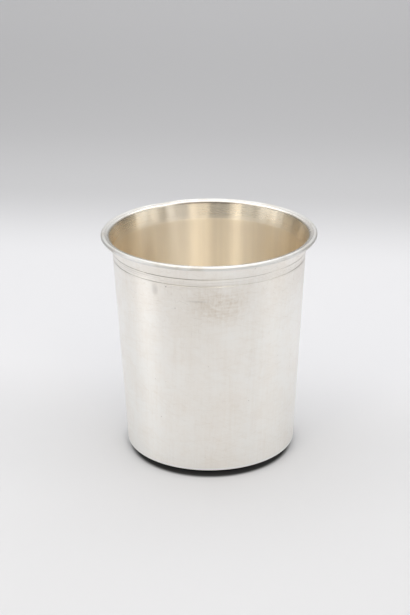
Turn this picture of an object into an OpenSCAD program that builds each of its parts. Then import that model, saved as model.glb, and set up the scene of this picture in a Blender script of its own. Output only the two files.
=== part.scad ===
// A straight-sided silver drinking cup, soldered up from sheet and wire: a rolled and seamed
// wall with an everted lip, a dished base under it, and a wire that stiffens the lip's edge.
// Millimetres, +Z up, with the origin at the middle of the face that the cup stands on.

/* [Cup] */
// Height from the standing face to the top of the rim wire
cup_height = 80; // [56:0.5:110]
// Diameter over the rim wire
rim_diameter = 75; // [56:0.5:100]
// Lean of the wall away from the axis, in degrees
wall_taper = 2.8; // [0:0.1:6]
// Thickness of the wall's sheet
wall_thickness = 0.6; // [0.4:0.02:0.9]
// Width of the soldered seam down the wall
seam_width = 0.3; // [0.1:0.05:0.8]

/* [Neck and lip] */
// Drop from the top of the rim to the line where the neck leaves the straight wall
neck_drop = 6.7; // [5:0.1:14]
// Lean of the neck away from the axis, in degrees
neck_flare = 15.5; // [8:0.5:25]
// Radius between the straight wall and the neck, on the outside
neck_blend = 3; // [1:0.5:8]
// Radius of the bend between the neck and the lip, on the underside
lip_bend = 0.6; // [0.3:0.05:1.5]
// Length of the lip's flat, from the bend to the middle of the rim wire
lip_flat = 1.15; // [1.1:0.05:5]
// Rise of the lip towards its edge, in degrees
lip_rise = 10; // [0:1:30]
// Diameter of the rim wire
wire_diameter = 1.6; // [1.1:0.05:2.4]
// Height of the rim wire above the upper face of the lip
wire_proud = 0.1; // [0.05:0.05:0.2]
// Width of the solder fillet under the rim wire
wire_solder = 0.35; // [0.2:0.05:0.35]

/* [Turned lines] */
// Drop from the top of the rim to the upper line
upper_line_drop = 5.7; // [4:0.1:9]
// Drop from the top of the rim to the lower line
lower_line_drop = 8.3; // [7:0.1:20]
// Radius of the cutter that turned the lines
line_radius = 0.2; // [0.15:0.05:0.4]
// Depth of the lines
line_depth = 0.12; // [0.05:0.01:0.2]

/* [Base] */
// Thickness of the base's sheet
base_thickness = 0.9; // [0.6:0.05:1.5]
// Height of the base's edge above the standing face
base_lift = 2.4; // [1:0.1:5]
// Width of the sweep from the standing face up to the edge
base_sweep = 7.5; // [4:0.5:12]
// Radius round the base's lower edge
edge_round = 0.8; // [0.3:0.05:1.2]
// Width of the solder fillet in the corner between the wall and the base
base_solder_leg = 0.8; // [0.4:0.05:1.5]
// Flat left between that fillet and the sweep
seat_land = 0.2; // [0.1:0.05:1]

/* [Hidden] */

// Straight pieces that make up a round stretch of an outline
arc_steps = 12;
// Thinnest part of the base's edge that its rounding leaves upright
edge_land = 0.05;
// How far round the wire its solder climbs, in degrees
solder_climb = 15;
// How far a cutting outline reaches past the face that it cuts
overcut = 1.2;
$fn = 96;

half_sheet = wall_thickness / 2;
wire_radius = wire_diameter / 2;
wire_centre = [rim_diameter / 2 - wire_radius, cup_height - wire_radius];
lip_offset = wire_radius - wire_proud - half_sheet;
seat_z = base_lift + base_thickness;
neck_z = cup_height - neck_drop;

// Climb of the sheet's middle line, from level, on the neck and on the wall
neck_climb = 90 - neck_flare;
wall_climb = 90 - wall_taper;

// Direction along a sheet that climbs at an angle, and square to it on its inner side
function along(climb) = [cos(climb), sin(climb)];
function square_to(climb) = [-sin(climb), cos(climb)];

// Middle line of the sheet, from the wire down: lip, bend, neck, blend, wall
lip_end = wire_centre + lip_offset * square_to(lip_rise);
bend_radius = lip_bend + half_sheet;
bend_centre = lip_end - lip_flat * along(lip_rise) - bend_radius * square_to(lip_rise);
neck_top = bend_centre + bend_radius * square_to(neck_climb);
neck_foot = neck_top - along(neck_climb) * (neck_top.y - neck_z) / sin(neck_climb);
blend_radius = neck_blend + half_sheet;
blend_tangent = blend_radius * tan((wall_climb - neck_climb) / 2);
blend_centre = neck_foot + blend_tangent * along(neck_climb) - blend_radius * square_to(neck_climb);

// Radius of a straight stretch at a height: side is 1 outside, -1 inside
function stretch_radius(z, climb, side) =
    neck_foot.x + (z - neck_z) / tan(climb) + side * half_sheet / sin(climb);
function wall_radius(z, side) = stretch_radius(z, wall_climb, side);
function outer_radius(z) = max(wall_radius(z, 1), stretch_radius(z, neck_climb, 1));

// One face of the sheet from the wire down to its seat on the base
function sheet_arc(centre, radius, first, last) =
    [for (i = [0:arc_steps]) centre + radius * square_to(first + (last - first) * i / arc_steps)];
function sheet_face(side) = concat(
    [lip_end - side * half_sheet * square_to(lip_rise)],
    sheet_arc(bend_centre, bend_radius - side * half_sheet, lip_rise, neck_climb),
    sheet_arc(blend_centre, blend_radius - side * half_sheet, neck_climb, wall_climb),
    [[wall_radius(seat_z, side), seat_z]]
);
function reversed(points) = [for (i = [len(points) - 1:-1:0]) points[i]];
sheet_outline = concat(sheet_face(1), reversed(sheet_face(-1)));

// Radii of the base, from its edge inwards
edge_radius = wall_radius(seat_z, 1);
corner_radius = wall_radius(seat_z, -1);
land_radius = corner_radius - base_solder_leg - seat_land;
flat_radius = land_radius - base_sweep;
edge_fillet = min(edge_round, base_thickness - edge_land);

// The base's sweep is half a wave, level at both ends
function sweep_height(step) = base_lift * (1 - cos(180 * step / arc_steps)) / 2;
sweep = [for (i = [0:arc_steps]) [flat_radius + base_sweep * i / arc_steps, sweep_height(i)]];

// Quarter round that starts level and ends upright, against a side and a floor
function quarter_round(side, floor, radius) = [
    for (i = [0:arc_steps])
    let (turn = 90 * i / arc_steps)
    [side - radius * (1 - sin(turn)), floor + radius * (1 - cos(turn))]
];
base_outline = concat(
    [[0, 0]],
    sweep,
    quarter_round(edge_radius, base_lift, edge_fillet),
    [[edge_radius, seat_z]],
    [for (point = reversed(sweep)) point + [0, base_thickness]],
    [[0, base_thickness]]
);

// The fillet in the corner leans with the wall
function leaned(point) = [point.x + (point.y - seat_z) / tan(wall_climb), point.y];
base_fillet_outline = [
    for (point = concat([[corner_radius, seat_z]], quarter_round(corner_radius, seat_z, base_solder_leg)))
    leaned(point)
];

// The fillet under the lip runs from the lip's underside to the side of the wire
wire_contact = asin((half_sheet - lip_offset) / wire_radius);
lip_toe = wire_centre
    - (wire_radius * cos(wire_contact) + wire_solder) * along(lip_rise)
    - wire_radius * sin(wire_contact) * square_to(lip_rise);
wire_toe = wire_centre
    - wire_radius * cos(wire_contact + solder_climb) * along(lip_rise)
    - wire_radius * sin(wire_contact + solder_climb) * square_to(lip_rise);
lip_heel = lip_end - half_sheet * square_to(lip_rise);
rim_fillet_outline = [lip_toe, lip_heel, lip_toe + overcut * (wire_toe - lip_toe)];

module wall_section() {
    difference() {
        polygon(sheet_outline);
        for (drop = [upper_line_drop, lower_line_drop])
            translate([outer_radius(cup_height - drop) + line_radius - line_depth, cup_height - drop])
                circle(line_radius);
    }
}

module seam_slot() {
    translate([0, -seam_width / 2, 0])
        cube([rim_diameter, seam_width, cup_height]);
}

module wire_section() {
    translate(wire_centre)
        circle(wire_radius);
}

// Sheet rolled into a cone, with the lip turned out and the lines cut on its neck
module wall() {
    color("silver")
        difference() {
            rotate_extrude()
                wall_section();
            seam_slot();
        }
}

// Solder that closes the rolled sheet, dressed flush inside and out
module seam_solder() {
    color("gainsboro")
        intersection() {
            rotate_extrude()
                wall_section();
            seam_slot();
        }
}

// Disc dished down in the middle, where the cup stands, with the wall seated on its edge
module base() {
    color("silver")
        rotate_extrude()
            polygon(base_outline);
}

// Solder run round the inside of the bottom corner
module base_solder() {
    color("gainsboro")
        rotate_extrude()
            polygon(base_fillet_outline);
}

// Round wire with a slot that takes the lip's edge
module rim_wire() {
    color("silver")
        rotate_extrude()
            difference() {
                wire_section();
                polygon(sheet_outline);
            }
}

// Solder run under the lip, along the wire
module rim_solder() {
    color("gainsboro")
        rotate_extrude()
            difference() {
                polygon(rim_fillet_outline);
                wire_section();
            }
}

wall();
seam_solder();
base();
base_solder();
rim_wire();
rim_solder();
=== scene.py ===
# %% [markdown]
# # An old silver cup, turned from a few points
#
# The construction of the cup comes from a CAD model: six soldered pieces of silver, in metres, standing on
# the floor at the origin. This lesson gives each piece a finer mesh and a worn silver finish, then sets up
# the floor, the soft light and the camera of a small product photograph.

# %% Load the frame
import math

import bmesh
import bpy
from mathutils import Matrix, Vector, noise


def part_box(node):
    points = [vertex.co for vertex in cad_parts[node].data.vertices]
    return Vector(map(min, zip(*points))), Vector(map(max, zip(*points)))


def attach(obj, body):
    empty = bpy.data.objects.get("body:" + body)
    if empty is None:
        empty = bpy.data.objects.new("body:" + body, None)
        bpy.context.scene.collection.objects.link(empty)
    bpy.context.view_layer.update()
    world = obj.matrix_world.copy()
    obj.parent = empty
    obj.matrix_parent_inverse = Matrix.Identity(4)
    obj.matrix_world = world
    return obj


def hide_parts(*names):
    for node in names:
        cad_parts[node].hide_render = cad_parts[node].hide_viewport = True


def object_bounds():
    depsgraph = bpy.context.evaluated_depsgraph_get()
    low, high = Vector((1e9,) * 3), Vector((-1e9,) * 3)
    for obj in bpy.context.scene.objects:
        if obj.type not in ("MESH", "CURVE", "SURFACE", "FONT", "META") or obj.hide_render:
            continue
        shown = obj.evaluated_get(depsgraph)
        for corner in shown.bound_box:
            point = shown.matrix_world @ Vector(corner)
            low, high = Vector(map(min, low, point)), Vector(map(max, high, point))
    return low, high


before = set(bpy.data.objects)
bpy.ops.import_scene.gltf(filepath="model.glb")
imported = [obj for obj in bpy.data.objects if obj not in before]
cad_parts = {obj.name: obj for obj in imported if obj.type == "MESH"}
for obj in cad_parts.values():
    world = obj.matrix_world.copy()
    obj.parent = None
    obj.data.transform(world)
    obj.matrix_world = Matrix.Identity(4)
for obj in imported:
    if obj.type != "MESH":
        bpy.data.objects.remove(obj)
cad_low, cad_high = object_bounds()
print("pieces to dress:", ", ".join(sorted(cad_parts)))

# %% [markdown]
# ## Measures
#
# The big sizes are read from the CAD pieces, so the looks can't drift away from the construction. The small
# sizes of the sheet, the neck and the lip repeat the values that the cup was drawn with, in millimetres and
# degrees. Sizes of the cup have names in small letters, and choices made for this scene have names in
# capitals. An outline point is a flat vector: distance from the axis, then height.

# %% Measures of the cup
MM = 0.001
cup_height = cad_high.z
rim_radius = cad_high.x
wire_radius = (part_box("rim_wire")[1].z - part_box("rim_wire")[0].z) / 2
foot_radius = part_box("base")[1].x
seat_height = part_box("wall")[0].z

sheet = 0.6 * MM
neck_drop = 6.7 * MM
neck_climb = math.radians(90 - 15.5)
wall_climb = math.radians(90 - 2.8)
lip_bend = 0.6 * MM
lip_flat = 1.15 * MM
lip_rise = math.radians(10)
wire_proud = 0.1 * MM
print(f"height {cup_height / MM:.2f} mm, rim radius {rim_radius / MM:.2f} mm")
print(f"foot radius {foot_radius / MM:.2f} mm")

# %% [markdown]
# The sheet of the wall runs along three straight stretches: up the wall, up the neck and out along the lip.
# It is enough to know where the middle lines of those stretches meet, because the two faces of the sheet lie
# half a thickness to each side.

# %% Corners of the sheet's middle line
def along(climb):
    """Direction of a sheet that climbs at an angle."""
    return Vector((math.cos(climb), math.sin(climb)))


def square_to(climb):
    """Direction square to that sheet, towards the inside of the cup."""
    return Vector((-math.sin(climb), math.cos(climb)))


wire_centre = Vector((rim_radius - wire_radius, cup_height - wire_radius))
lip_offset = wire_radius - wire_proud - sheet / 2
lip_end = wire_centre + lip_offset * square_to(lip_rise)
lip_turn = neck_climb - lip_rise
lip_reach = lip_flat + (lip_bend + sheet / 2) * math.tan(lip_turn / 2)
lip_corner = lip_end - lip_reach * along(lip_rise)
neck_foot = lip_corner - along(neck_climb) * (lip_corner.y - cup_height + neck_drop) / math.sin(neck_climb)
wall_foot = neck_foot - along(wall_climb) * (neck_foot.y - seat_height) / math.sin(wall_climb)
outer_foot = wall_foot + Vector((sheet / 2 / math.sin(wall_climb), 0))
inner_foot = wall_foot - Vector((sheet / 2 / math.sin(wall_climb), 0))
print(f"the wall's foot is {abs(outer_foot.x - foot_radius) / MM:.3f} mm from the edge of the base")

# %% [markdown]
# ## Lathe tools
#
# Every piece of this cup is round, so each starts as a few vertices in the XZ plane. Vertex bevels round the
# corners, long edges are cut into shorter ones, and one spin about Z sweeps the outline into a solid. The
# alternative, a Screw modifier, would leave less control over the seam and the wear that is painted later.

# %% Lathe tools
STEPS = 288
FULL_TURN = 2 * math.pi
SAME_PLACE = MM / 1000


def draw_line(bm, points):
    """Joined vertices through flat points, in the XZ plane."""
    verts = [bm.verts.new((point.x, 0, point.y)) for point in points]
    for first, second in zip(verts, verts[1:]):
        bm.edges.new((first, second))
    return verts


def draw_loop(bm, points):
    """The same, joined back to the first point."""
    verts = draw_line(bm, points)
    bm.edges.new((verts[-1], verts[0]))
    return verts


def round_corner(bm, vert, radius, segments):
    """Bevels one corner of an outline to an arc of about that radius."""
    one, two = (edge.other_vert(vert).co - vert.co for edge in vert.link_edges)
    turned = math.pi - one.angle(two)
    bmesh.ops.bevel(
        bm, geom=[vert], offset=radius * math.tan(turned / 2), offset_type="OFFSET",
        affect="VERTICES", segments=segments, profile=0.5, material=-1,
    )


def shorten_edges(bm, longest):
    """Cuts every longer edge into equal pieces."""
    for edge in list(bm.edges):
        cuts = math.ceil(edge.calc_length() / longest) - 1
        if cuts > 0:
            bmesh.ops.subdivide_edges(bm, edges=[edge], cuts=cuts)


def turn_outline(bm, first=0.0, angle=FULL_TURN, steps=STEPS):
    """Spins the outline about the cup's axis, and closes the ends of a part turn."""
    whole = angle == FULL_TURN
    bmesh.ops.rotate(bm, cent=(0, 0, 0), matrix=Matrix.Rotation(first, 3, "Z"), verts=bm.verts[:])
    bmesh.ops.spin(
        bm, geom=bm.verts[:] + bm.edges[:], cent=(0, 0, 0), axis=(0, 0, 1),
        angle=angle, steps=steps, use_merge=whole,
    )
    bmesh.ops.remove_doubles(bm, verts=bm.verts[:], dist=SAME_PLACE)
    if not whole:
        bmesh.ops.holes_fill(bm, edges=[edge for edge in bm.edges if edge.is_boundary], sides=0)
    bmesh.ops.recalc_face_normals(bm, faces=bm.faces[:])


print(f"one step of a spin is {FULL_TURN * rim_radius / STEPS / MM:.2f} mm long at the rim")

# %% [markdown]
# ## Made and used by hand
#
# A cup that has been rolled, soldered and used for a century isn't a perfect surface of revolution, and
# polished metal shows it: highlights waver. A Displace modifier could do this, but each piece would need its
# own. Here all pieces share one gentle displacement, so they still fit each other.
#
# The dents from use come first. A dent is placed by its turn from the front of the cup in degrees, positive
# to the viewer's right, and its height in millimetres. Its spread and its depth follow, in millimetres too.

# %% Dents
WALL_DENTS = (
    (-33, 69.0, 2.6, 0.10),
    (9, 60.5, 6.0, 0.08),
    (38, 24.0, 5.0, 0.07),
    (-12, 33.0, 7.0, 0.06),
    (118, 52.0, 5.5, 0.12),
    (171, 30.0, 6.5, 0.10),
    (-128, 44.0, 4.5, 0.10),
    (-80, 18.0, 6.0, 0.08),
)


def turn_from_front(place):
    """Angle of a point round the axis, from the front and positive to the viewer's right."""
    return math.atan2(place.x, -place.y)


def shortest_turn(turn):
    """The same angle, between half a turn back and half a turn on."""
    return math.atan2(math.sin(turn), math.cos(turn))


def bell(distance, spread):
    """Smooth hump, 1 in the middle."""
    return math.exp(-(distance / spread) ** 2 / 2)


def dent_depth(place):
    """How far the wall's dents push a point of the wall towards the axis."""
    radius = math.hypot(place.x, place.y)
    depth = 0.0
    for degrees, height, spread, deepest in WALL_DENTS:
        sideways = radius * shortest_turn(turn_from_front(place) - math.radians(degrees))
        depth += deepest * MM * bell(math.hypot(sideways, place.z - height * MM), spread * MM)
    return depth


print(f"{len(WALL_DENTS)} dents, the deepest {max(dent[3] for dent in WALL_DENTS)} mm")

# %% [markdown]
# The cup is also out of round, it ripples, its rim sags a little, and the rim has a dent of its own.
# Everything pulls inwards or down and stays well below half a millimetre, so the cup keeps its size. The
# base holds the wall firm, so dents fade out over its lowest quarter, and only the top is high enough to sag.

# %% Unevenness
POLE = 1 * MM
OVALITY = 0.10 * MM
OVAL_START = 0.7
RIPPLE = 0.06 * MM
RIPPLE_SIZE = 20 * MM
RIM_SAG = 0.12 * MM
SAG_START = 1.9
SAG_POWER = 12
RIM_DENT = 0.28 * MM
RIM_DENT_TURN = math.radians(-153)
RIM_DENT_SPREAD = math.radians(4.5)
FIRM_SHARE = 0.25


def make_uneven(bm):
    """Moves every vertex a little, by where it is."""
    for vert in bm.verts:
        radius = math.hypot(vert.co.x, vert.co.y)
        if radius < POLE:
            continue
        lift = vert.co.z / cup_height
        turn = turn_from_front(vert.co)
        oval = OVALITY * (1 + math.cos(2 * turn - OVAL_START)) / 2
        ripple = RIPPLE * (0.5 + 0.5 * noise.noise(vert.co / RIPPLE_SIZE))
        pull = (lift * (oval + ripple) + min(lift / FIRM_SHARE, 1) * dent_depth(vert.co)) / radius
        sag = RIM_SAG * (1 - math.cos(3 * turn + SAG_START)) / 2
        sag += RIM_DENT * bell(shortest_turn(turn - RIM_DENT_TURN), RIM_DENT_SPREAD)
        vert.co.x -= vert.co.x * pull
        vert.co.y -= vert.co.y * pull
        vert.co.z -= lift ** SAG_POWER * sag


print(f"out of round by {OVALITY / MM:.2f} mm")
print(f"the rim sags by up to {RIM_SAG / MM:.2f} mm, and its dent adds {RIM_DENT / MM:.2f} mm")

# %% [markdown]
# ## Masks that the wear and a painted reflection need
#
# Three things about a point decide how the silver is finished: whether it faces the inside of the cup and
# whether it lies at the bottom of a turned line, which tell how it wears, and whether it lies on the bend
# under the lip, where a dark reflection is painted inside. They could be painted on by hand, but the
# surface's normal and the points of the section tell them exactly. Each is kept as a number on every vertex
# before the mesh is bent out of round, and the finishes read it by name.

# %% Masks
MASKS = ("inside", "recess", "bend_reflection")
INSIDE_STEP = (0.5, 0.8)
BEND_REFLECTION_STARTS = (0.28, 0.45)
BEND_REFLECTION_ENDS = (0.98, 0.93)
LINE_REACH = MM / 100
LOW_PART = cup_height / 4


def step_up(value, low, high):
    """Straight ramp from 0 at low to 1 at high."""
    return min(max((value - low) / (high - low), 0), 1)


def mark_masks(bm, line_bottoms):
    """Writes the three masks on the vertices."""
    bm.normal_update()
    inside, recess, bend_reflection = (bm.verts.layers.float.new(name) for name in MASKS)
    for vert in bm.verts:
        radius = math.hypot(vert.co.x, vert.co.y)
        inward = 0.0
        if radius > POLE:
            inward = -vert.normal.dot(Vector((vert.co.x, vert.co.y, 0)) / radius)
        low_and_up = vert.normal.z if vert.co.z < LOW_PART else 0
        vert[inside] = step_up(max(inward, low_and_up), *INSIDE_STEP)
        for bottom in line_bottoms:
            if math.hypot(radius - bottom.x, vert.co.z - bottom.y) < LINE_REACH:
                vert[recess] = 1
        # The bend under the lip, where the inside gets a painted dark reflection.
        if inward > 0 and vert.co.z > neck_foot.y:
            vert[bend_reflection] = step_up(inward, *BEND_REFLECTION_STARTS) * step_up(inward, *BEND_REFLECTION_ENDS)


print("masks on every vertex:", ", ".join(MASKS))

# %% [markdown]
# ## From mesh to piece
#
# A finished bmesh becomes an object that stays at the origin, because its place is in its mesh. Turned metal
# is shaded smooth, while the edges of the sheet and of the lines stay crisp: edges over a small angle are
# marked sharp, which needs no modifier. The last lines tie the piece to the frame. It moves with the cup and
# stands for the CAD piece of the same name.

# %% From mesh to piece
SHARP_DEGREES = 18


def make_piece(bm, node, finish, line_bottoms=()):
    """Turns the finished bmesh into an object that stands for a CAD node."""
    mark_masks(bm, line_bottoms)
    make_uneven(bm)
    mesh = bpy.data.meshes.new(node)
    bm.to_mesh(mesh)
    bm.free()
    mesh.shade_smooth()
    mesh.set_sharp_from_angle(angle=math.radians(SHARP_DEGREES))
    mesh.materials.append(finish)
    piece = bpy.data.objects.new(node, mesh)
    bpy.context.scene.collection.objects.link(piece)
    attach(piece, "root")
    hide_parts(node)
    triangles = sum(len(face.vertices) - 2 for face in mesh.polygons)
    print(f"{node}: {len(mesh.vertices)} vertices, {triangles} triangles")


print(f"edges over {SHARP_DEGREES} degrees stay crisp")

# %% [markdown]
# ## Shader sums
#
# A finish is mostly arithmetic, and arithmetic is easier to read as sums than as a list of nodes and links.
# One small class makes that possible. It wraps a socket; an operator adds a Math node, and its one method
# adds any other node.

# %% Shader sums
class Value:
    """A socket in a material that can be used in sums."""

    def __init__(self, tree, socket=None):
        self.tree = tree
        self.socket = socket

    def add(self, kind, settings=None, inputs=None, output=0):
        """Adds a node: its settings first, then the values or links of its sockets."""
        node = self.tree.nodes.new(kind)
        for key, value in (settings or {}).items():
            setattr(node, key, value)
        for key, value in (inputs or {}).items():
            if isinstance(value, Value):
                self.tree.links.new(value.socket, node.inputs[key])
            else:
                node.inputs[key].default_value = value
        return Value(self.tree, node.outputs[output])

    def maths(self, operation, *values):
        """Adds a Math node."""
        return self.add("ShaderNodeMath", {"operation": operation}, dict(enumerate(values)))

    def __add__(self, other):
        return self.maths("ADD", self, other)

    def __sub__(self, other):
        return self.maths("SUBTRACT", self, other)

    def __rsub__(self, other):
        return self.maths("SUBTRACT", other, self)

    def __mul__(self, other):
        return self.maths("MULTIPLY", self, other)

    def __abs__(self):
        return self.maths("ABSOLUTE", self)

    __radd__ = __add__
    __rmul__ = __mul__


print("sums can use +, -, * and abs")

# %% [markdown]
# A few functions on top of that give the words that a finish is described with. The first ones are a soft
# step, a mix of two colours, a mask that was written on the vertices, a cloud, and the parts and the length
# of a vector. A Mix node has sockets for every kind of value, so those for colours are picked by number.
# Everything is measured in metres on the cup itself, so a mark keeps its size whatever the piece.

# %% Steps, mixes and clouds
MIX_SHARE = 0
MIX_FIRST = 6
MIX_SECOND = 7
MIX_RESULT = 2


def fade(value, low, high):
    """0 up to low and 1 from high on, with a soft step between; a low above the high falls instead."""
    settings = {"interpolation_type": "SMOOTHSTEP"}
    return value.add("ShaderNodeMapRange", settings, {"Value": value, "From Min": low, "From Max": high})


def blend(share, first, second):
    """Colour between two colours, each three numbers or a value."""
    first, second = (colour if isinstance(colour, Value) else (*colour, 1) for colour in (first, second))
    inputs = {MIX_SHARE: share, MIX_FIRST: first, MIX_SECOND: second}
    return share.add("ShaderNodeMix", {"data_type": "RGBA"}, inputs, output=MIX_RESULT)


def mask(start, name):
    """A number that was written on the vertices."""
    return start.add("ShaderNodeAttribute", {"attribute_name": name}, output="Fac")


def cloud(point, size, detail):
    """Soft random value round 0.5, with blotches of about that size."""
    return point.add("ShaderNodeTexNoise", None, {"Vector": point, "Scale": 1 / size, "Detail": detail})


def split(vector, axes="XYZ"):
    """The numbers of a vector along some of its axes."""
    return [vector.add("ShaderNodeSeparateXYZ", None, {0: vector}, output=axis) for axis in axes]


def length_of(vector):
    """Length of a vector."""
    return vector.add("ShaderNodeVectorMath", {"operation": "LENGTH"}, {0: vector}, output="Value")


print("words for any finish: fade, blend, mask, cloud, split, length_of")

# %% [markdown]
# Wear follows the sheet, so the wall is read as if it were unrolled: a distance round the axis that starts
# and ends at the soldered seam, where the jump can't be seen, and a height. An unwrapped UV map could give
# the same, but not in metres. On that flat sheet a mark can be drawn out into streaks, thinned to hairlines,
# or kept to a soft oval.

# %% The wall laid flat
WALL_RADIUS = (rim_radius + foot_radius) / 2
OVAL_FADE = (1.3, 0.3)
HAIR_CORE = 0.2


def unrolled(point):
    """The wall laid flat, X the distance round the axis from the seam and Y the height, and the height."""
    x, y, z = split(point)
    around = WALL_RADIUS * point.maths("ARCTAN2", 0 - y, 0 - x)
    return point.add("ShaderNodeCombineXYZ", None, {"X": around, "Y": z}), z


def mapped(flat, inputs):
    """Flat places as seen from a place that is moved, turned and scaled."""
    return flat.add("ShaderNodeMapping", {"vector_type": "TEXTURE"}, {"Vector": flat, **inputs})


def streaks(flat, turn, length, width, detail=2):
    """Random value round 0.5 that is drawn out along a line at an angle to the cup's hoops."""
    drawn_out = mapped(flat, {"Rotation": (0, 0, math.radians(turn)), "Scale": (length, width, 1)})
    inputs = {"Vector": drawn_out, "Scale": 1, "Detail": detail}
    return flat.add("ShaderNodeTexNoise", {"noise_dimensions": "2D"}, inputs)


def hairlines(flat, turn, length, spacing, share):
    """Fine wandering scratches: the places where drawn-out noise passes through its middle value."""
    return fade(abs(streaks(flat, turn, length, spacing) - 0.5), share, HAIR_CORE * share)


def patch(flat, degrees, height, wide, tall):
    """Soft oval on the wall: its turn from the front, then height, width and tallness in millimetres."""
    middle = (WALL_RADIUS * math.radians(90 + degrees), height * MM, 0)
    half_size = (wide / 2 * MM, tall / 2 * MM, 1)
    return fade(length_of(mapped(flat, {"Location": middle, "Scale": half_size})), *OVAL_FADE)


print(f"the wall is laid flat at a radius of {WALL_RADIUS / MM:.1f} mm")

# %% [markdown]
# Short scratches and specks lie anywhere. A Voronoi texture scatters one point per cell and gives each cell
# its own random colour: one part of that colour turns the scratch or sizes the speck, and another decides
# whether the cell has a mark at all. Drawing each scratch by hand would take longer and repeat sooner.

# %% Scattered marks
CHOICE_EDGE = 0.05


def cells(flat, size):
    """Scatters one point per cell: gives the offset from it, and two random numbers that belong to it."""
    settings = {"voronoi_dimensions": "2D"}
    inputs = {"Vector": flat, "Scale": 1 / size}
    centre = flat.add("ShaderNodeTexVoronoi", settings, inputs, output="Position")
    colour = flat.add("ShaderNodeTexVoronoi", settings, inputs, output="Color")
    offset = flat.add("ShaderNodeVectorMath", {"operation": "SUBTRACT"}, {0: flat, 1: centre})
    red = flat.add("ShaderNodeSeparateColor", None, {0: colour}, output="Red")
    green = flat.add("ShaderNodeSeparateColor", None, {0: colour}, output="Green")
    return offset, red, green


def scratches(flat, size, length, width, share, spread=180):
    """Short straight scratches in a share of the cells, within a spread of angles about the cup's hoops."""
    offset, red, green = cells(flat, size)
    inputs = {"Vector": offset, "Angle": math.radians(spread) * (red - 0.5)}
    turned = flat.add("ShaderNodeVectorRotate", {"rotation_type": "Z_AXIS"}, inputs)
    lengthways, across = split(turned, "XY")
    thin = fade(green, share, share - CHOICE_EDGE) * fade(abs(across), width / 2, 0)
    return thin * fade(abs(lengthways), length / 2, length / 4)


def specks(flat, size, width, share):
    """Small round spots, in a share of the cells."""
    offset, red, green = cells(flat, size)
    return fade(green, share, share - CHOICE_EDGE) * fade(length_of(offset), width / 2 * (0.5 + red), 0)


print("words for scattered marks: cells, scratches, specks")

# %% [markdown]
# ## Silver
#
# Old table silver is never one colour. Polished, it is almost white; rubbed, it turns creamy; where cloths
# don't reach, it browns. The inside is yellower, as from thin old gilding. All of it is metal, so the tones
# are the colours of its reflections. A lathe leaves fine hoops that draw reflections out into upright bars,
# and the shader's anisotropy, turned by a quarter, does that without any geometry.

# %% Silver tones
BRIGHT = (0.955, 0.955, 0.928)
CREAM = (0.96, 0.928, 0.876)
TONED = (0.80, 0.735, 0.65)
# Tarnish; the same colour paints the dark reflection on the bend inside the lip.
TARNISH_AND_DARK_REFLECTION = (0.20, 0.165, 0.13)
GILT = (1.0, 0.923, 0.778)
GILT_WORN = (0.99, 0.909, 0.77)
GRAIN_TURN = 0.25


def start_finish(name):
    """New material with its shader, and a value to build from."""
    finish = bpy.data.materials.new(name)
    finish.use_nodes = True
    return finish, finish.node_tree.nodes["Principled BSDF"], Value(finish.node_tree)


def metal(shader, colour, roughness, bump, grain):
    """Makes a shader metal, with a grain between 0 and 1."""
    shader.inputs["Metallic"].default_value = 1
    shader.inputs["Anisotropic"].default_value = grain
    shader.inputs["Anisotropic Rotation"].default_value = GRAIN_TURN
    for value, socket in ((colour, "Base Color"), (roughness, "Roughness"), (bump, "Normal")):
        value.tree.links.new(value.socket, shader.inputs[socket])


def bumps(height, distance):
    """Normal of a surface with that relief, in metres."""
    return height.add("ShaderNodeBump", None, {"Height": height, "Strength": 1.0, "Distance": distance})


print(f"tarnish reflects {TARNISH_AND_DARK_REFLECTION[1] / BRIGHT[1]:.0%} of what bright silver does")

# %% [markdown]
# ## Silver of the wall
#
# The wall's finish is built in four steps. First come the patterns that the whole sheet shares: slow clouds
# of tone, hairlines that cloths left in three directions, short scratches, specks, hoops from the lathe and
# faint upright strokes. Photographs of worn metal could give all this too, but patterns worked out from the
# place on the cup have no seams and stay sharp close up.

# %% Patterns on the wall
HAIR_SHARE = 0.03
CUT_SHARE = 0.55
CUT_WIDTH = 0.16 * MM

wall_finish, outside, start = start_finish("wall_silver")
point = start.add("ShaderNodeTexCoord", output="Object")
flat, height = unrolled(point)
inside, recess, bend_reflection = (mask(start, name) for name in MASKS)
haze = cloud(point, 30 * MM, detail=5)
breath = cloud(point, 9 * MM, detail=5)
grime = cloud(point, 1.2 * MM, detail=2)
rubbed = (
    hairlines(flat, 6, 60 * MM, 2.2 * MM, HAIR_SHARE)
    + hairlines(flat, -24, 45 * MM, 2.0 * MM, HAIR_SHARE)
    + hairlines(flat, 84, 30 * MM, 2.4 * MM, HAIR_SHARE)
)
long_cuts = scratches(flat, 5 * MM, 5 * MM, CUT_WIDTH, CUT_SHARE, spread=50)
cut = long_cuts + scratches(flat, 2.6 * MM, 1.8 * MM, CUT_WIDTH, CUT_SHARE)
spots = specks(flat, 7 * MM, 0.5 * MM, 0.12)
hoops = streaks(flat, 0, 40 * MM, 0.16 * MM, detail=3)
upright = streaks(flat, 89, 30 * MM, 1.1 * MM, detail=3)
print("nodes in the wall's patterns:", len(start.tree.nodes))

# %% [markdown]
# Then come the marks that this one cup has: a scuffed place on the front with strokes both ways, a brushed
# place beside it, a smear, a stroke, a nick under the lines, and the chatter of the tool that cut the lines.
# They could be painted on the mesh with a brush, but a soft oval with a pattern in it is easy to move, and
# each was put where the photograph shows it.

# %% Marks on the wall
SCUFFED = (5, 65.0, 22, 14)
BRUSHED = (-32, 64.0, 12, 7)
SMEAR = (-33, 69.0, 2.8, 4.6)
STROKE = (-7, 66.3, 8, 0.8)
NICK = (-25.5, 70.7, 0.6, 0.5)
CHATTER_FROM = (70.4 * MM, 71.6 * MM)
CHATTER_TO = (75.2 * MM, 74.2 * MM)

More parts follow.
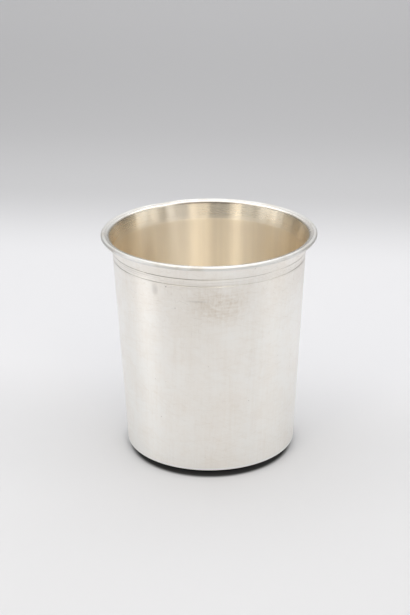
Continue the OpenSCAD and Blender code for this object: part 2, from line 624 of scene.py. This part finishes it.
strokes_up = streaks(flat, 86, 4 * MM, 0.9 * MM, detail=4)
strokes = strokes_up + streaks(flat, 5, 6 * MM, 0.7 * MM, detail=4) - 1
scuffed = patch(flat, *SCUFFED) * (1 + 2.4 * strokes + 2 * (grime - 0.5))
brushed = patch(flat, *BRUSHED) * fade(streaks(flat, 2, 5 * MM, 0.45 * MM), 0.50, 0.70)
smear, stroke, nick = (patch(flat, *place) for place in (SMEAR, STROKE, NICK))
chatter = fade(height, *CHATTER_FROM) * fade(height, *CHATTER_TO) * fade(hoops, 0.54, 0.66)
print("nodes with the wall's own marks:", len(start.tree.nodes))

# %% [markdown]
# The outside is mixed in layers, from bright silver over cream to toned silver, and dirt lies over them all.
# A colour ramp could hold these tones too, but layers let each kind of wear have its own place. The tone is
# warmer towards the neck. Dirt has stayed in the turned lines, most of it in the upper one and on the front.
# The outside is satin, with a light grain, and smoother on the lip.

# %% Outside of the wall
WARM_FROM = 46 * MM
CREAMY_FRONT = (0, 40, 60, 120)
DIRTY_SIDE = (-20, 73.0, 50, 40)
BETWEEN_LINES = (72.5 * MM, 73.5 * MM)
LIP_STEP = (cup_height - 1.5 * MM, cup_height - 0.9 * MM)
LIP_SATIN = 0.27
WALL_SATIN = 0.36
WALL_RELIEF = 0.002 * MM
WALL_GRAIN = 0.6

warmth = fade(height, WARM_FROM, neck_foot.y) * fade(haze, 0.35, 0.62)
cream = 0.45 + 0.4 * warmth + 0.35 * patch(flat, *CREAMY_FRONT) + 1.2 * (breath - 0.5)
tone = (
    0.05 + 0.16 * warmth + 0.40 * (breath - 0.5) + (grime - 0.5) * (0.25 + 0.3 * warmth)
    + 0.25 * (upright - 0.5) + 0.37 * scuffed + 0.25 * brushed + 0.08 * rubbed
)
filled = recess * (0.25 + 0.75 * patch(flat, *DIRTY_SIDE)) * (0.45 + 0.55 * fade(height, *BETWEEN_LINES))
filled = filled * (0.3 + fade(haze, 0.3, 0.6))
dirt = (
    filled + cut * (0.08 + 0.16 * warmth) + 0.22 * chatter + 0.45 * spots
    + 0.22 * smear + 0.16 * stroke + 0.6 * nick
)
colour = blend(dirt, blend(tone, blend(cream, BRIGHT, CREAM), TONED), TARNISH_AND_DARK_REFLECTION)
lip = fade(height, *LIP_STEP)
satin = WALL_SATIN + 0.16 * (haze - 0.5) + 0.03 * rubbed + 0.06 * scuffed + 0.15 * recess
relief = 0.35 * hoops - 0.3 * rubbed - 0.15 * cut - nick
metal(outside, colour, satin + lip * (LIP_SATIN - satin), bumps(relief, WALL_RELIEF), WALL_GRAIN)
print("nodes with the outside of the wall:", len(start.tree.nodes))

# %% [markdown]
# The inside is gilt, thinner in places and wiped upright by a cloth, with a painted dark reflection along the
# bend under the lip, mostly at the back. It is a little smoother on the neck, and has a short dull fold on
# one side. Its grain is as strong as it can be. An export keeps a grain only where it is the same all over a
# shader, so the inside gets a shader of its own, and a Mix Shader joins the two by the mask.

# %% Inside of the wall
BACK_OF_BEND = (-180, 79, 34, 30)
FOLD = (-105, 73.0, 8, 0.5)
NECK_STEP = (neck_foot.y, neck_foot.y + 1.5 * MM)
GILT_SATIN = 0.38
GILT_RELIEF = 0.0006 * MM
GILT_GRAIN = 1.0

within = start.add("ShaderNodeBsdfPrincipled")
worn = fade(breath, 0.40, 0.70) + 0.6 * cut
wiped = fade(streaks(flat, 90, 150 * MM, 2.2 * MM, detail=3), 0.46, 0.64)
gold = blend(0.12 * wiped, blend(worn, GILT, GILT_WORN), TONED)
# Painted dark reflection: the bend under the lip turns towards tarnish, most at the back.
gold = blend(bend_reflection * (0.25 + 0.75 * patch(flat, *BACK_OF_BEND)), gold, TARNISH_AND_DARK_REFLECTION)
hooped = GILT_SATIN - 0.10 * fade(height, *NECK_STEP) + 0.30 * patch(flat, *FOLD)
hooped = hooped + 0.06 * (haze - 0.5) + 0.04 * (hoops - 0.5)
gilt_bump = bumps(hoops - 0.2 * cut, GILT_RELIEF)
metal(within.socket.node, gold, hooped + lip * (LIP_SATIN - hooped), gilt_bump, GILT_GRAIN)
sides = {0: inside, 1: Value(start.tree, outside.outputs[0]), 2: within}
both = start.add("ShaderNodeMixShader", None, sides)
start.tree.links.new(both.socket, start.tree.nodes["Material Output"].inputs["Surface"])
print("nodes in the wall's silver:", len(start.tree.nodes))

# %% [markdown]
# ## Silver of the base
#
# The base has three looks: dull gilt with rings from the lathe above, inside the cup; dark on the sweep
# below, with old tarnish where no cloth reaches and painted shade that keeps the gap under the wall dark; and
# scuffed bright rings on the flat that slides over tables. Three materials would leave hard borders, so one
# material fades between the looks by height and radius.

# %% Silver of the base
UNDERSIDE_TARNISH_AND_SHADE = (0.11, 0.095, 0.08)
GILT_BOTTOM = (0.86, 0.785, 0.665)
GILT_DULL = (0.70, 0.62, 0.505)
RING_SIZE = 0.5 * MM
STANDING_STEP = (0.25 * MM, 0.02 * MM)
EDGE_STEP = (foot_radius - 0.5 * MM, foot_radius - 0.3 * MM)
BASE_SATIN = 0.42
BASE_RELIEF = 0.006 * MM
BASE_GRAIN = 0.4


def base_silver():
    """Gilt above, tarnished and painted dark with shade below, and rubbed bright where the cup stands."""
    finish, shader, start = start_finish("base_silver")
    point = start.add("ShaderNodeTexCoord", output="Object")
    x, y, z = split(point)
    plan = point.add("ShaderNodeCombineXYZ", None, {"X": x, "Y": y})
    radius = length_of(plan)
    inside = mask(start, "inside")
    haze = cloud(point, 12 * MM, detail=6)
    ring_inputs = {"W": radius, "Scale": 1 / RING_SIZE, "Detail": 4}
    rings = start.add("ShaderNodeTexNoise", {"noise_dimensions": "1D"}, ring_inputs)
    long_cuts = scratches(plan, 6 * MM, 7 * MM, 0.09 * MM, 0.7)
    cut = long_cuts + scratches(plan, 2.5 * MM, 2.5 * MM, 0.07 * MM, 0.6)
    standing = fade(z, *STANDING_STEP)
    edge = fade(radius, *EDGE_STEP)
    # Below is dark with old tarnish and painted shade for the gap; the standing flat and the edge stay
    # bright.
    below = blend(fade(standing * (0.55 + 0.5 * rings) + 0.25 * cut + edge, 0, 1), UNDERSIDE_TARNISH_AND_SHADE, BRIGHT)
    dulled = 0.15 + 0.35 * fade(haze, 0.35, 0.7) + 0.4 * fade(rings, 0.42, 0.62) + 0.4 * cut
    colour = blend(inside, below, blend(dulled, GILT_BOTTOM, GILT_DULL))
    rough = BASE_SATIN + 0.25 * (haze - 0.5) - 0.12 * inside + 0.08 * cut
    metal(shader, colour, rough, bumps(rings - cut, BASE_RELIEF), BASE_GRAIN)
    return finish


base_finish = base_silver()
print("nodes in the base's silver:", len(base_finish.node_tree.nodes))

# %% [markdown]
# ## Silver of the rim, and solder
#
# The rim wire is handled most, which leaves it a plain satin grey that takes up the tone of the room. Hard
# solder is a little yellower than the sheet, smoother where it ran, and slightly pitted. Both are the same
# kind of metal, so one function makes them. Solder that lies inside the cup is gilt with it.

# %% Silver of the rim, and solder
RIM_TINT = (0.82, 0.81, 0.79)
RIM_TONED = (0.73, 0.70, 0.65)
SOLDER_TINT = (0.90, 0.865, 0.78)
SOLDER_TONED = (0.78, 0.70, 0.58)
GILT_BELOW = (cup_height / 3, cup_height / 4)
PLAIN_RELIEF = 0.004 * MM
PLAIN_GRAIN = 0.2


def plain_silver(name, tint, toned, roughness, pits):
    """Metal with cloudy tone, fine scratches and pits."""
    finish, shader, start = start_finish(name)
    point = start.add("ShaderNodeTexCoord", output="Object")
    flat, height = unrolled(point)
    haze = cloud(point, 9 * MM, detail=5)
    cut = scratches(flat, 2.2 * MM, 2 * MM, 0.06 * MM, 0.6)
    pitted = specks(flat, 0.9 * MM, 0.25 * MM, pits)
    gilt = mask(start, "inside") * fade(height, *GILT_BELOW)
    tone = fade(haze, 0.42, 0.75) + 0.5 * pitted + 0.25 * cut
    colour = blend(gilt, blend(fade(tone, 0, 1), tint, toned), GILT)
    rough = roughness + 0.16 * (haze - 0.4) + 0.06 * cut
    metal(shader, colour, rough, bumps(0 - cut - 2 * pitted, PLAIN_RELIEF), PLAIN_GRAIN)
    return finish


rim_finish = plain_silver("rim_silver", RIM_TINT, RIM_TONED, roughness=0.48, pits=0.12)
solder_finish = plain_silver("solder", SOLDER_TINT, SOLDER_TONED, roughness=0.30, pits=0.5)
print("nodes in the rim's silver:", len(rim_finish.node_tree.nodes))

# %% [markdown]
# ## The wall
#
# The wall is a sheet of silver rolled into a cone, with its top bent out into a lip and two lines turned on
# its neck. A Solidify modifier could thicken one line into a sheet, but the bends are tighter on the outside
# than on the inside, and the lines are cut in the outer face alone. So its two faces are drawn one after the
# other, and each bend gets its own radius.

# %% The wall's lines
line_drops = (8.3 * MM, 5.7 * MM)
line_half_width = 0.18 * MM
line_depth = 0.12 * MM


def turned_line(drop):
    """Three points across a line cut in the outer face, at a drop from the rim."""
    height = cup_height - drop
    climb = neck_climb if height > neck_foot.y else wall_climb
    middle = neck_foot + along(climb) * (height - neck_foot.y) / math.sin(climb)
    surface = middle - sheet / 2 * square_to(climb)
    return [
        surface - line_half_width * along(climb),
        surface + line_depth * square_to(climb),
        surface + line_half_width * along(climb),
    ]


lower_line, upper_line = (turned_line(drop) for drop in line_drops)
line_bottoms = (lower_line[1], upper_line[1])
print("heights of the turned lines:", ", ".join(f"{bottom.y / MM:.2f} mm" for bottom in line_bottoms))

# %% [markdown]
# The section runs up the outer face, over the lip's end and down the inner face. Its corners lie half a
# thickness beside those of the middle line, on the line that halves the angle, and bevels turn them into
# bends.

# %% The wall's section
neck_blend = 3.0 * MM
WALL_EDGE_LENGTH = 1.5 * MM


def face_corner(corner, climb_below, climb_above, side):
    """Corner of the sheet's outer (side 1) or inner (side -1) face beside a corner of its middle line."""
    reach = side * sheet / 2 / math.cos((climb_below - climb_above) / 2)
    return corner - reach * square_to((climb_below + climb_above) / 2)


def wall_section():
    """Closed outline of the wall, with its bends rounded."""
    outer_neck, inner_neck = (face_corner(neck_foot, wall_climb, neck_climb, side) for side in (1, -1))
    outer_lip, inner_lip = (face_corner(lip_corner, neck_climb, lip_rise, side) for side in (1, -1))
    outer_end, inner_end = (lip_end - side * sheet / 2 * square_to(lip_rise) for side in (1, -1))
    outer_points = [outer_foot, *lower_line, outer_neck, *upper_line, outer_lip, outer_end]
    points = outer_points + [inner_end, inner_lip, inner_neck, inner_foot]
    bm = bmesh.new()
    verts = draw_loop(bm, points)
    bends = (
        (outer_neck, neck_blend, 4),
        (outer_lip, lip_bend, 8),
        (inner_lip, lip_bend + sheet, 16),
        (inner_neck, neck_blend + sheet, 4),
    )
    for corner, radius, segments in bends:
        round_corner(bm, verts[points.index(corner)], radius, segments)
    shorten_edges(bm, WALL_EDGE_LENGTH)
    return bm


section = wall_section()
print("points round the wall's section:", len(section.verts))

# %% [markdown]
# The rolled sheet meets itself on the viewer's right, where a thin line of solder closes it. Solder could be
# painted on as a stripe, but it is a piece of its own on the bench. So the wall is one spin that stops just
# short of a full turn, and the solder is the same section, spun over the gap.

# %% The wall and its soldered seam
seam_width = 0.3 * MM
SEAM_STEPS = 2

seam_angle = seam_width / outer_foot.x
turn_outline(section, seam_angle / 2, FULL_TURN - seam_angle)
make_piece(section, "wall", wall_finish, line_bottoms)

section = wall_section()
turn_outline(section, -seam_angle / 2, seam_angle, SEAM_STEPS)
make_piece(section, "seam_solder", solder_finish, line_bottoms)

# %% [markdown]
# ## The base
#
# The base is a thicker disc, dished down in the middle. Only its flat middle touches the table, so a thin
# dark gap shows under the wall's lower edge. The dish could be modelled on a flat disc with proportional
# editing, but an outline of straight stretches keeps its sizes, and wide bevels make one soft sweep of it.

# %% The base
base_thickness = 0.9 * MM
base_sweep = 7.5 * MM
edge_round = 0.8 * MM
base_solder_leg = 0.8 * MM
seat_land = 0.2 * MM
SWEEP_SHARE = 0.45
BASE_EDGE_LENGTH = 3 * MM

base_lift = seat_height - base_thickness
land_radius = inner_foot.x - base_solder_leg - seat_land
flat_radius = land_radius - base_sweep
under = [
    Vector((0, 0)),
    Vector((flat_radius, 0)),
    Vector((land_radius, base_lift)),
    Vector((foot_radius, base_lift)),
]
rise = Vector((0, base_thickness))
over = [Vector((foot_radius, seat_height)), *(corner + rise for corner in reversed(under[:3]))]
section = bmesh.new()
_, flat_edge, land_edge, lower_rim, _, upper_land, upper_flat, _ = draw_line(section, under + over)
sweep_length = math.hypot(base_sweep, base_lift)
sweep_radius = SWEEP_SHARE * sweep_length / math.tan(math.atan2(base_lift, base_sweep) / 2)
for corner in (flat_edge, land_edge, upper_land, upper_flat):
    round_corner(section, corner, sweep_radius, segments=10)
round_corner(section, lower_rim, edge_round, segments=8)
shorten_edges(section, BASE_EDGE_LENGTH)
turn_outline(section)
make_piece(section, "base", base_finish)

# %% [markdown]
# ## The solder inside the bottom corner
#
# Solder that has run into a corner draws itself up both sides and stays hollow between them. A fillet could
# come from beveling the corner of one joined mesh, but wall and base are separate pieces. So the solder is a
# small ring of its own: a corner, a toe up the wall, a toe along the base, and a rounded hollow.

# %% The solder inside the bottom corner
HOLLOW_SHARE = 0.28

wall_lean = Vector((1 / math.tan(wall_climb), 1))
up_wall = inner_foot + base_solder_leg * wall_lean
in_base = inner_foot - Vector((base_solder_leg, 0))
hollow = inner_foot + HOLLOW_SHARE * (up_wall - inner_foot) + HOLLOW_SHARE * (in_base - inner_foot)
section = bmesh.new()
verts = draw_loop(section, [inner_foot, up_wall, hollow, in_base])
round_corner(section, verts[2], base_solder_leg, segments=8)
turn_outline(section)
make_piece(section, "base_solder", solder_finish)

# %% [markdown]
# ## The rim wire
#
# A round wire edges the lip, set so that its top is almost level with the sheet. A torus would be quick, but
# the sheet would run through it. Its section is a circle with a slot for the sheet: one vertex is spun round
# the wire's own centre for the arc, and two make the bottom of the slot.

# %% The rim wire
WIRE_STEPS = 32


def on_wire(turn):
    """Point of the wire's surface that faces the cup, at an angle above the line of the lip."""
    outwards = math.cos(turn) * along(lip_rise) - math.sin(turn) * square_to(lip_rise)
    return wire_centre - wire_radius * outwards


slot_top = math.asin((lip_offset + sheet / 2) / wire_radius)
slot_foot = math.asin((lip_offset - sheet / 2) / wire_radius)
slot_edge = on_wire(slot_top)
half_sheet = sheet / 2 * square_to(lip_rise)
section = bmesh.new()
first = section.verts.new((slot_edge.x, 0, slot_edge.y))
arc = bmesh.ops.spin(
    section, geom=[first], cent=(wire_centre.x, 0, wire_centre.y), axis=(0, 1, 0),
    angle=FULL_TURN - slot_top + slot_foot, steps=WIRE_STEPS, use_merge=False,
)
slot_bottom = draw_line(section, [lip_end - half_sheet, lip_end + half_sheet])
section.edges.new((arc["geom_last"][0], slot_bottom[0]))
section.edges.new((slot_bottom[1], first))
turn_outline(section)
make_piece(section, "rim_wire", rim_finish)

# %% [markdown]
# ## The solder under the lip
#
# A last thread of solder fills the corner between the lip and the wire. It is so thin that its hollow would
# not show, so three points are enough: the corner itself, a toe along the lip and a toe round the wire.

# %% The solder under the lip
wire_solder = 0.35 * MM
solder_climb = math.radians(15)

heel = on_wire(slot_foot)
lip_toe = heel - wire_solder * along(lip_rise)
section = bmesh.new()
draw_loop(section, [lip_toe, heel, on_wire(slot_foot - solder_climb)])
turn_outline(section)
make_piece(section, "rim_solder", solder_finish)

# %% [markdown]
# ## The stage
#
# The floor is one wide sheet of pale paper. A real sweep of paper curves up behind the object; here it lies
# flat, reaches far back and is graded in colour instead, which leaves no horizon line behind the cup. The
# grading is painted shade: darker at the front, a band of painted shadow where the cup stands, and greyer
# towards the back as the light falls off; far back it is lighter again. All of it is slightly skewed, as in
# the photograph. Right under the cup it is painted nearly black, a painted shadow that keeps the thin gap
# there in deep shadow.

# %% Paper
# Painted shade and shadow on the paper, set by depth, and a near-black painted shadow under the cup.
PAPER_SHADED_FRONT = (0.735, 0.738, 0.755)
PAPER_SHADOW_BAND = (0.715, 0.718, 0.735)
PAPER_NEAR = (0.78, 0.782, 0.805)
PAPER_SHADED_HALF = (0.585, 0.586, 0.60)
PAPER_SHADED_MIDDLE = (0.535, 0.535, 0.548)
PAPER_FAR = (0.85, 0.85, 0.87)
PAPER_SKEW = 0.12
PAPER_LEFT = 0.08
PAPER_SHADOW_STEP = (-0.05, -0.01)
PAPER_OPENS = (0.005, 0.075)
PAPER_FADES = (0.195, 0.32)
PAPER_FALLOFF_STEP = (0.30, 0.46)
PAPER_CLEARS = (0.45, 1.3)
SHADE = (0.02, 0.02, 0.02)
SHADE_SHARE = 0.9
SHADE_CENTRE = (0, -2 * MM, 0)
SHADE_STEP = (foot_radius - 0.6 * MM, foot_radius - 2.6 * MM)

paper_finish, paper_shader, paper_start = start_finish("pale_paper")
paper_point = paper_start.add("ShaderNodeTexCoord", output="Object")
paper_across, paper_depth = split(paper_point, "XY")
paper_depth = paper_depth + PAPER_SKEW * (paper_across + PAPER_LEFT)
# Painted shade: greyer towards the back as the light falls off, darker in front and in a shadow band by the
# cup.
paper_back = blend(fade(paper_depth, *PAPER_CLEARS), PAPER_SHADED_MIDDLE, PAPER_FAR)
paper_shaded_half = blend(fade(paper_depth, *PAPER_FALLOFF_STEP), PAPER_SHADED_HALF, paper_back)
paper_shadow_band = blend(fade(paper_depth, *PAPER_SHADOW_STEP), PAPER_SHADED_FRONT, PAPER_SHADOW_BAND)
paper_near = blend(fade(paper_depth, *PAPER_OPENS), paper_shadow_band, PAPER_NEAR)
paper_open = blend(fade(paper_depth, *PAPER_FADES), paper_near, paper_shaded_half)
# Painted shadow: the paper turns nearly black right under the cup.
apart = {0: paper_point, 1: SHADE_CENTRE}
paper_reach = paper_point.add("ShaderNodeVectorMath", {"operation": "DISTANCE"}, apart, output="Value")
paper_colour = blend(SHADE_SHARE * fade(paper_reach, *SHADE_STEP), paper_open, SHADE)
paper_start.tree.links.new(paper_colour.socket, paper_shader.inputs["Base Color"])
paper_shader.inputs["Roughness"].default_value = 0.9
paper_shader.inputs["Specular IOR Level"].default_value = 0.1
print("nodes in the paper:", len(paper_start.tree.nodes))

# %% [markdown]
# The sheet itself needs four vertices. A plane from the Add menu would do too, but a bmesh grid needs no
# selection and no active object. The paper is not part of the cup.

# %% Floor
FLOOR_REACH = 4.0

sheet_of_paper = bmesh.new()
bmesh.ops.create_grid(sheet_of_paper, x_segments=1, y_segments=1, size=FLOOR_REACH)
floor_mesh = bpy.data.meshes.new("paper_floor")
sheet_of_paper.to_mesh(floor_mesh)
sheet_of_paper.free()
floor_mesh.materials.append(paper_finish)
floor = bpy.data.objects.new("paper_floor", floor_mesh)
bpy.context.scene.collection.objects.link(floor)
print(f"the floor reaches {FLOOR_REACH:.0f} m each way")

# %% [markdown]
# ## Light
#
# Silver shows the room that it stands in, so much of the look is made here. A picture of a real studio could
# be wrapped round the scene, but then nothing in it could be moved. Plain soft panels were chosen, because
# each can be moved and dimmed alone until its reflection fits the photograph. The camera doesn't see them.
#
# A panel with a glow of 1 looks as bright as white paper. A narrow beam keeps its light off the floor beside
# it, and the last factor of the power keeps it just as bright from straight in front. One panel stands at
# the back, and a row of four hangs overhead, each given by its front edge, back edge and glow.

# %% Soft panels
WHITE = (1.0, 1.0, 1.0)
OPEN_BEAM = 180
BACK_PLACE = (0, 1.0, 0.48)
BACK_AIM = (0, 0, 0.10)
BACK_SIZE = (1.8, 0.70)
BACK_GLOW = 0.34
CEILING = 0.60
CEILING_WIDTH = 1.1
TOP_PANELS = (
    (-0.35, -0.05, 1.24),
    (-0.05, 0.15, 0.95),
    (0.15, 0.45, 1.47),
    (0.45, 0.80, 0.33),
)


def soft_panel(name, place, aim, width, depth, glow, colour=WHITE, beam=OPEN_BEAM):
    """A rectangular soft light at a place, facing a point, with a beam in degrees."""
    lamp = bpy.data.lights.new(name, "AREA")
    lamp.shape = "RECTANGLE"
    lamp.size = width
    lamp.size_y = depth
    half_beam = math.radians(beam / 2)
    lamp.spread = 2 * half_beam
    lamp.energy = glow * math.pi * width * depth * (1 - half_beam / math.tan(half_beam))
    lamp.color = colour
    panel = bpy.data.objects.new(name, lamp)
    panel.location = place
    panel.rotation_mode = "QUATERNION"
    panel.rotation_quaternion = (Vector(aim) - Vector(place)).to_track_quat("-Z", "Y")
    panel.visible_camera = False
    bpy.context.scene.collection.objects.link(panel)


soft_panel("back", BACK_PLACE, BACK_AIM, *BACK_SIZE, BACK_GLOW)
for number, (front, back, glow) in enumerate(TOP_PANELS):
    middle = (front + back) / 2
    soft_panel(f"top_{number}", (0, middle, CEILING), (0, middle, 0), CEILING_WIDTH, back - front, glow)
print("panels behind and overhead:", 1 + len(TOP_PANELS))

# %% [markdown]
# The inside of the cup shows the room in front of it, drawn out into upright bars, and the wall's edges show
# what stands at its sides. Upright strips stand for the bright parts of that room: far ones at the height of
# a table lamp, high ones above them, some of them warm, and two near ones beside the cup. Their places and
# strengths were fitted to the tones of the photograph. A strip is given by its turn from the front and its
# spread, both in degrees as seen from the cup, then its glow and its colour.

# %% Strips of light
WARM = (1.10, 1.01, 0.87)
FAR_STRIPS = (
    (-112, 16, 0.20, WHITE),
    (-92, 16, 0.95, WHITE),
    (-77, 14, 0.05, WHITE),
    (-64, 12, 0.43, WHITE),
    (-43, 26, 0.22, WHITE),
    (48, 12, 0.69, WHITE),
    (74, 16, 0.64, WHITE),
    (90, 16, 1.24, WHITE),
)
HIGH_STRIPS = (
    (-70, 18, 0.22, WHITE),
    (-50, 14, 0.60, WHITE),
    (-38, 8, 2.80, WARM),
    (-30, 8, 1.55, WARM),
    (-22, 8, 0.35, WHITE),
    (-11, 14, 0.44, WHITE),
    (8, 18, 1.78, WARM),
    (21, 8, 2.70, WARM),
    (39, 28, 1.08, WHITE),
    (70, 18, 0.32, WHITE),
)
NEAR_STRIPS = (
    (-77, 24, 4.20, WHITE),
    (76, 24, 1.75, WHITE),
)


def stand_strips(name, strips, distance, low, high, beam):
    """Stands strips round the cup at a distance, each from a low to a high edge."""
    for number, (degrees, spread, glow, colour) in enumerate(strips):
        turn = math.radians(degrees)
        place = distance * Vector((math.sin(turn), -math.cos(turn), 0))
        place.z = (low + high) / 2
        width = 2 * distance * math.tan(math.radians(spread / 2))
        soft_panel(f"{name}_{number}", place, (0, 0, place.z), width, high - low, glow, colour, beam)


stand_strips("far", FAR_STRIPS, distance=0.8, low=0.10, high=0.34, beam=OPEN_BEAM)
stand_strips("high", HIGH_STRIPS, distance=0.8, low=0.36, high=0.95, beam=OPEN_BEAM)
stand_strips("near", NEAR_STRIPS, distance=0.4, low=0.03, high=0.13, beam=70)
print("upright strips:", len(FAR_STRIPS) + len(HIGH_STRIPS) + len(NEAR_STRIPS))

# %% [markdown]
# Between the panels the room is dim: grey below, almost black at the sides and lighter overhead. That dark
# belt matters, because silver only looks like silver when it has something dark to reflect. Light bounces
# many times inside a polished cup, so more bounces are allowed than usual. The Standard view shows the tones
# as they are, without the film look that would dull the paper.

# %% Room light
ROOM_FLOOR = (0.25, 0.25, 0.25)
ROOM_LOW = (0.02, 0.02, 0.02)
ROOM_HIGH = (0.39, 0.39, 0.39)
SIDES_START = (0.02, 0.12)
TOP_STARTS = (0.20, 0.42)
BOUNCES = 24

world = bpy.data.worlds.new("studio")
world.use_nodes = True
room = Value(world.node_tree)
direction = room.add("ShaderNodeTexCoord", output="Generated")
[climb] = split(direction, "Z")
room_side = blend(fade(climb, *SIDES_START), ROOM_FLOOR, ROOM_LOW)
room_colour = blend(fade(climb, *TOP_STARTS), room_side, ROOM_HIGH)
world.node_tree.links.new(room_colour.socket, world.node_tree.nodes["Background"].inputs["Color"])
bpy.context.scene.world = world
bpy.context.scene.cycles.max_bounces = BOUNCES
bpy.context.scene.cycles.glossy_bounces = BOUNCES
bpy.context.scene.view_settings.view_transform = "Standard"
print(f"room light {ROOM_LOW[0]} at the sides, {ROOM_HIGH[0]} overhead")

# %% [markdown]
# ## Camera
#
# The camera stands where the photographer's did. It could be placed by eye, but its distance, height and tilt
# were fitted to the outline of the rim and the foot in the photograph, whose long side is 615 pixels.

# %% Camera
FRAME_PIXELS = 615
FOCAL_PIXELS = 1400
CUP_OFFSET_PIXELS = 5.0
CAMERA_DISTANCE = 0.4597
CAMERA_HEIGHT = 0.2351
PITCH = math.radians(21.81)
ROLL = math.radians(-0.55)

lens = bpy.data.cameras.new("camera")
lens.sensor_width = 36
lens.lens = lens.sensor_width * FOCAL_PIXELS / FRAME_PIXELS
camera = bpy.data.objects.new("camera", lens)
yaw = math.atan(CUP_OFFSET_PIXELS / FOCAL_PIXELS)
camera.matrix_world = (
    Matrix.Translation((0, -CAMERA_DISTANCE, CAMERA_HEIGHT))
    @ Matrix.Rotation(yaw, 4, "Z")
    @ Matrix.Rotation(math.pi / 2 - PITCH, 4, "X")
    @ Matrix.Rotation(ROLL, 4, "Z")
)
bpy.context.scene.collection.objects.link(camera)
bpy.context.scene.camera = camera
print(f"lens {lens.lens:.1f} mm")
